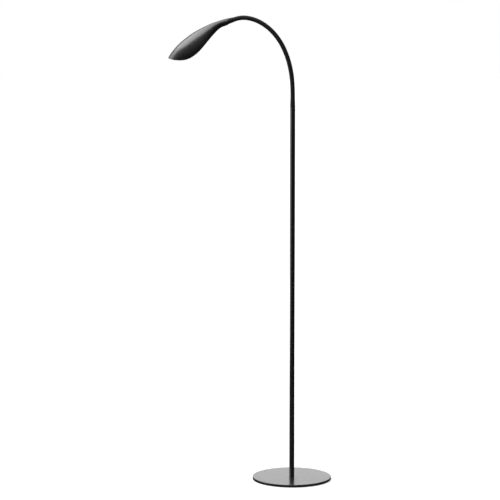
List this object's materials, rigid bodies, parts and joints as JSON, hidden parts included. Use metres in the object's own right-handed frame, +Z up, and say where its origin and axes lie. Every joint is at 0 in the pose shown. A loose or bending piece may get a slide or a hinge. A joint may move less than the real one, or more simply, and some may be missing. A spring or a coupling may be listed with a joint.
{
  "type": "gooseneck reading floor lamp",
  "caption": "Tall reading floor lamp: a round flat base, a slim straight pole, a smooth flexible gooseneck and a long leaf-shaped hood over a downward light.",
  "frame": {"origin": "centre of the underside of the base pad, on the pole's axis, where the lamp rests on the floor", "axes": "+Z up along the pole; the gooseneck and hood reach towards -X; Y is across the hood"},
  "size_m": [0.5135, 0.25, 1.471],
  "materials": {
    "base_paint": "satin black powder coat",
    "pole_paint": "satin black paint",
    "pad_rubber": "matte black non-slip foam rubber",
    "grommet_rubber": "soft black rubber",
    "zinc_steel": "zinc plated",
    "brass": "turned brass",
    "boot_plastic": "matte black",
    "sleeve_silicone": "matte smooth black silicone",
    "hose_steel": "wound steel wire",
    "lead_sheath": "black cable sheath",
    "hood_black": "satin black moulding",
    "tray_white": "matte white moulding",
    "opal": "opal acrylic",
    "board_white": "aluminium-core board with white solder mask",
    "phosphor": "yellow phosphor in white packages",
    "thermal_grey": "soft grey thermal sheet",
    "spreader_aluminium": "plain extrusion",
    "block_white": "white nylon",
    "wire_red": "insulated wire"
  },
  "bodies": {
    "stand": {"base_plate": "base_paint", "base_pad": "pad_rubber", "pole_screw": "zinc_steel", "pole_foot_insert": "zinc_steel", "pole_lower_tube": "pole_paint", "pole_joiner": "zinc_steel", "pole_upper_tube": "pole_paint", "pole_top_insert": "zinc_steel", "cord_grommet": "grommet_rubber", "pole_lead": "lead_sheath", "neck_ferrule_lower": "brass", "neck_boot_lower": "boot_plastic", "neck_hose_0": "hose_steel"},
    "neck_link_1": {"neck_hose_1": "hose_steel", "neck_lead_1": "lead_sheath", "neck_sleeve_1": "sleeve_silicone"},
    "neck_link_2": {"neck_hose_2": "hose_steel", "neck_lead_2": "lead_sheath", "neck_sleeve_2": "sleeve_silicone"},
    "neck_link_3": {"neck_hose_3": "hose_steel", "neck_lead_3": "lead_sheath", "neck_sleeve_3": "sleeve_silicone"},
    "neck_link_4": {"neck_hose_4": "hose_steel", "neck_lead_4": "lead_sheath", "neck_sleeve_4": "sleeve_silicone"},
    "neck_link_5": {"neck_hose_5": "hose_steel", "neck_lead_5": "lead_sheath", "neck_sleeve_5": "sleeve_silicone"},
    "neck_link_6": {"neck_hose_6": "hose_steel", "neck_lead_6": "lead_sheath", "neck_sleeve_6": "sleeve_silicone"},
    "neck_link_7": {"neck_hose_7": "hose_steel", "neck_lead_7": "lead_sheath", "neck_sleeve_7": "sleeve_silicone"},
    "neck_link_8": {"neck_hose_8": "hose_steel", "neck_lead_8": "lead_sheath", "neck_sleeve_8": "sleeve_silicone"},
    "hood": {"neck_sleeve_9": "sleeve_silicone", "neck_hose_9": "hose_steel", "hood_lead": "lead_sheath", "neck_ferrule_upper": "brass", "neck_boot_upper": "boot_plastic", "hood_washer": "zinc_steel", "hood_nut": "zinc_steel", "hood_shell": "hood_black", "lamp_tray": "tray_white", "tray_screws": "zinc_steel", "diffuser": "opal", "reflector_liner": "tray_white", "led_board": "board_white", "board_screws": "zinc_steel", "led_emitters": "phosphor", "thermal_pad": "thermal_grey", "heat_spreader": "spreader_aluminium", "terminal_block": "block_white", "board_wires": "wire_red"}
  },
  "joints": [
    {"name": "neck_bend_1", "type": "hinge", "parent": "stand", "child": "neck_link_1", "pos_m": [-0.00027, 0, 1.2378], "axis": [0, -1, 0], "range_deg": [-25, 20], "deforming": ["neck_sleeve_1"]},
    {"name": "neck_swing_2", "type": "hinge", "parent": "neck_link_1", "child": "neck_link_2", "pos_m": [-0.00266, 0, 1.27591], "axis": [0.9939, 0, 0.1106], "range_deg": [-25, 25], "deforming": ["neck_sleeve_2"]},
    {"name": "neck_bend_3", "type": "hinge", "parent": "neck_link_2", "child": "neck_link_3", "pos_m": [-0.00904, 0, 1.31355], "axis": [0, -1, 0], "range_deg": [-25, 20], "deforming": ["neck_sleeve_3"]},
    {"name": "neck_swing_4", "type": "hinge", "parent": "neck_link_3", "child": "neck_link_4", "pos_m": [-0.02014, 0, 1.35007], "axis": [0.9342, 0, 0.3567], "range_deg": [-25, 25], "deforming": ["neck_sleeve_4"]},
    {"name": "neck_bend_5", "type": "hinge", "parent": "neck_link_4", "child": "neck_link_5", "pos_m": [-0.03644, 0, 1.38457], "axis": [0, -1, 0], "range_deg": [-25, 20], "deforming": ["neck_sleeve_5"]},
    {"name": "neck_swing_6", "type": "hinge", "parent": "neck_link_5", "child": "neck_link_6", "pos_m": [-0.05872, 0, 1.41552], "axis": [0.7461, 0, 0.6659], "range_deg": [-25, 25], "deforming": ["neck_sleeve_6"]},
    {"name": "neck_bend_7", "type": "hinge", "parent": "neck_link_6", "child": "neck_link_7", "pos_m": [-0.08716, 0, 1.4409], "axis": [0, -1, 0], "range_deg": [-25, 20], "deforming": ["neck_sleeve_7"]},
    {"name": "neck_swing_8", "type": "hinge", "parent": "neck_link_7", "child": "neck_link_8", "pos_m": [-0.12106, 0, 1.45822], "axis": [0.3173, 0, 0.9483], "range_deg": [-25, 25], "deforming": ["neck_sleeve_8"]},
    {"name": "neck_bend_9", "type": "hinge", "parent": "neck_link_8", "child": "hood", "pos_m": [-0.15861, 0, 1.46379], "axis": [0, -1, 0], "range_deg": [-25, 20], "deforming": ["neck_sleeve_9"]}
  ]
}
